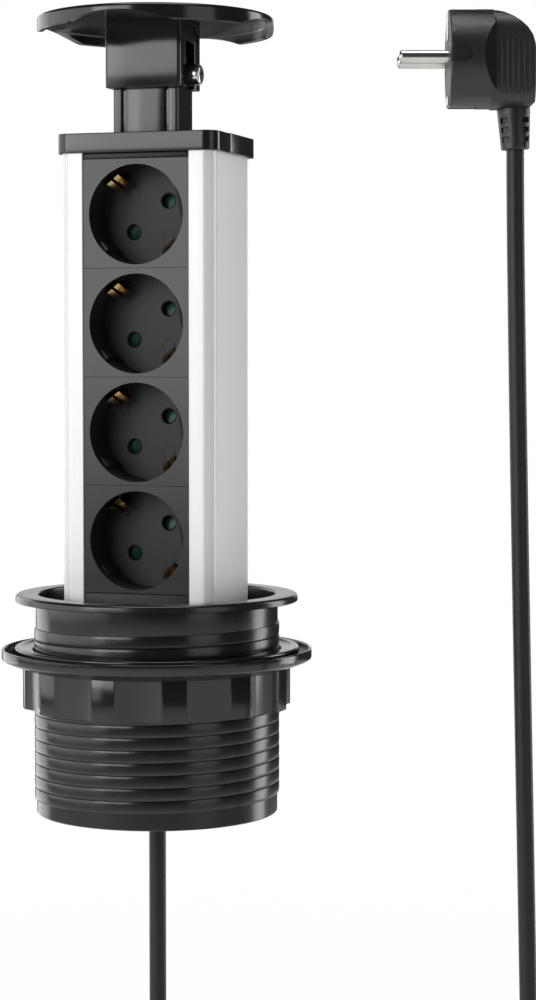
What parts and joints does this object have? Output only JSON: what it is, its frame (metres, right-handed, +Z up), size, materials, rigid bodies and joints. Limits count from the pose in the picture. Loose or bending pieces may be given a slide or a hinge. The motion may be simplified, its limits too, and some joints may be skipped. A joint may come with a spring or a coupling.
{
  "type": "pop-up socket tower",
  "caption": "Worktop socket tower shown raised: round clamped flange tube, square aluminium column of earthed sockets, round pull-up lid, mains cord with angled plug.",
  "frame": {"origin": "on the tube's axis, in the plane of the flange's underside, where it rests on the worktop", "axes": "+Z up along the tower; -Y is the side the sockets face; +X to the right as seen from that side"},
  "size_m": [0.2187, 0.1242, 0.4957],
  "materials": {
    "black_plastic": "smooth moulded, glossy",
    "plug_plastic": "soft satin",
    "cord_jacket": "satin cord jacket",
    "aluminium": "anodised, fine vertical grain",
    "brass": "plain",
    "bright_metal": "nickel plated",
    "screw_steel": "zinc plated",
    "shutter_green": "dark green",
    "core_live": "brown core",
    "core_neutral": "blue core",
    "core_earth": "green and yellow core"
  },
  "bodies": {
    "housing": {"flange_tube": "black_plastic", "guide_insert": "black_plastic", "guide_screws": "screw_steel", "brake_pads": "plug_plastic", "brake_springs": "screw_steel"},
    "pressure_ring": {"pressure_ring": "black_plastic"},
    "clamp_nut": {"clamp_nut": "black_plastic"},
    "tower": {"tower_profile": "aluminium", "top_cap": "black_plastic", "profile_screws": "screw_steel", "neck": "black_plastic", "neck_screws": "screw_steel", "guide_bush": "black_plastic", "guide_screw": "bright_metal", "lid_spring": "screw_steel", "foot": "black_plastic", "cord_gland": "black_plastic", "cord_relief": "plug_plastic", "panel_top_strip": "black_plastic", "panel_bottom_strip": "black_plastic", "carrier_screws": "screw_steel", "live_bar": "brass", "neutral_bar": "brass", "earth_bar": "brass", "core_live": "core_live", "core_neutral": "core_neutral", "core_earth": "core_earth", "socket_1": "black_plastic", "earth_clip_1": "brass", "contacts_1": "brass", "carrier_1": "plug_plastic", "socket_2": "black_plastic", "earth_clip_2": "brass", "contacts_2": "brass", "carrier_2": "plug_plastic", "socket_3": "black_plastic", "earth_clip_3": "brass", "contacts_3": "brass", "carrier_3": "plug_plastic", "socket_4": "black_plastic", "earth_clip_4": "brass", "contacts_4": "brass", "carrier_4": "plug_plastic", "cord_lower": "cord_jacket", "cord_coil": "cord_jacket", "coil_tie": "plug_plastic", "cord_upper": "cord_jacket", "plug_body": "plug_plastic", "plug_face": "plug_plastic", "plug_pins": "bright_metal", "plug_earth_contacts": "bright_metal", "plug_strain_relief": "plug_plastic"},
    "lid_group": {"lid": "black_plastic", "lid_block": "black_plastic", "lid_screws": "screw_steel"},
    "shutter_group_1": {"shutter_1": "shutter_green"},
    "shutter_group_2": {"shutter_2": "shutter_green"},
    "shutter_group_3": {"shutter_3": "shutter_green"},
    "shutter_group_4": {"shutter_4": "shutter_green"}
  },
  "joints": [
    {"name": "ring_slide", "type": "slide", "parent": "housing", "child": "pressure_ring", "axis": [0, 0, 1], "range_m": [-0.0339, 0.0118]},
    {"name": "nut_turn", "type": "hinge", "parent": "pressure_ring", "child": "clamp_nut", "pos_m": [0, 0, -0.03], "axis": [0, 0, 1], "range_deg": [-2492, 868]},
    {"name": "tower_slide", "type": "slide", "parent": "housing", "child": "tower", "axis": [0, 0, 1], "range_m": [-0.2198, 0]},
    {"name": "lid_slide", "type": "slide", "parent": "tower", "child": "lid_group", "axis": [0, 0, 1], "range_m": [-0.0085, 0], "stiffness_N_per_m": 250, "springref_m": 0.008, "deforming": ["lid_spring"]},
    {"name": "shutter_turn_1", "type": "hinge", "parent": "tower", "child": "shutter_group_1", "pos_m": [0, -0.0024, 0.15285], "axis": [0, -1, 0], "range_deg": [0, 45], "stiffness_Nm_per_rad": 0.002, "springref_deg": -20.05},
    {"name": "shutter_turn_2", "type": "hinge", "parent": "tower", "child": "shutter_group_2", "pos_m": [0, -0.0024, 0.11035], "axis": [0, -1, 0], "range_deg": [0, 45], "stiffness_Nm_per_rad": 0.002, "springref_deg": -20.05},
    {"name": "shutter_turn_3", "type": "hinge", "parent": "tower", "child": "shutter_group_3", "pos_m": [0, -0.0024, 0.06785], "axis": [0, -1, 0], "range_deg": [0, 45], "stiffness_Nm_per_rad": 0.002, "springref_deg": -20.05},
    {"name": "shutter_turn_4", "type": "hinge", "parent": "tower", "child": "shutter_group_4", "pos_m": [0, -0.0024, 0.02535], "axis": [0, -1, 0], "range_deg": [0, 45], "stiffness_Nm_per_rad": 0.002, "springref_deg": -20.05}
  ],
  "couplings": [
    {"joint": "nut_turn", "follows": "ring_slide", "rad_per_m": 1282.3}
  ]
}
